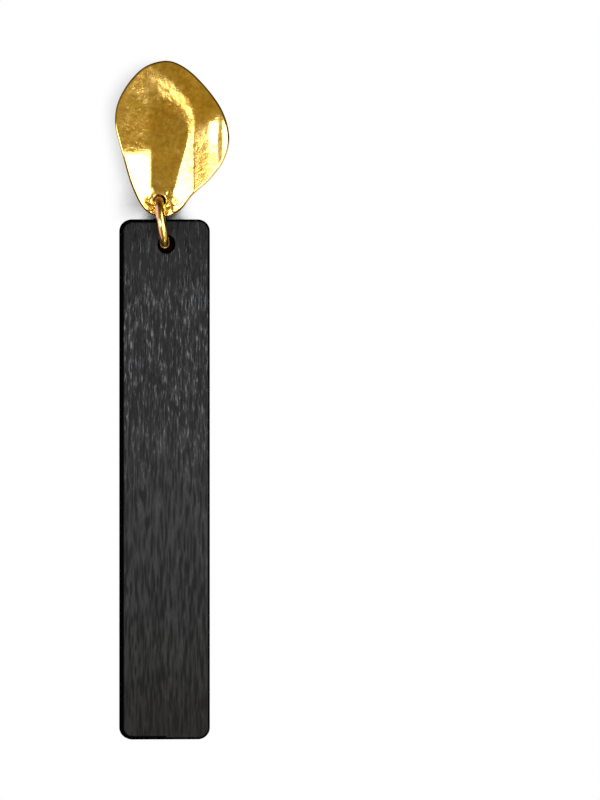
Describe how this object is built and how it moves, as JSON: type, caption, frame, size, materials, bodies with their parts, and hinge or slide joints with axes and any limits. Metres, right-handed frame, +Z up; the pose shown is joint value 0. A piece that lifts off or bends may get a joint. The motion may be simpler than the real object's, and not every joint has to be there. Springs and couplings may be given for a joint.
{
  "type": "bar earring",
  "caption": "Drop earring: a long flat wood bar with round corners hangs by a jump ring from a hammered, folded leaf stud with an ear post.",
  "frame": {"origin": "on the ear post's axis, on the back face of its pad, where the front of the ear lobe rests", "axes": "+Z up, +X to the right as seen from the front, +Y back through the lobe along the ear post; the leaf's front faces -Y"},
  "size_m": [0.0153, 0.0145, 0.0914],
  "materials": {
    "hammered_gold": "gold plated, satin, lightly hammered",
    "polished_gold": "gold plated, polished",
    "black_wood": "black stained, brushed, open grain along the length"
  },
  "bodies": {
    "stud": {"leaf_stud": "hammered_gold"},
    "ring": {"jump_ring": "polished_gold"},
    "bar": {"wood_bar": "black_wood"}
  },
  "joints": [
    {"name": "ring_sway", "type": "hinge", "parent": "stud", "child": "ring", "pos_m": [-0.00075, -0.00051, -0.01197], "axis": [0, 1, 0], "range_deg": [-9, 25]},
    {"name": "bar_swing", "type": "hinge", "parent": "ring", "child": "bar", "pos_m": [-0.00048, -0.00051, -0.01489], "axis": [0.9903, 0, 0.1392], "range_deg": [-20, 20]}
  ]
}
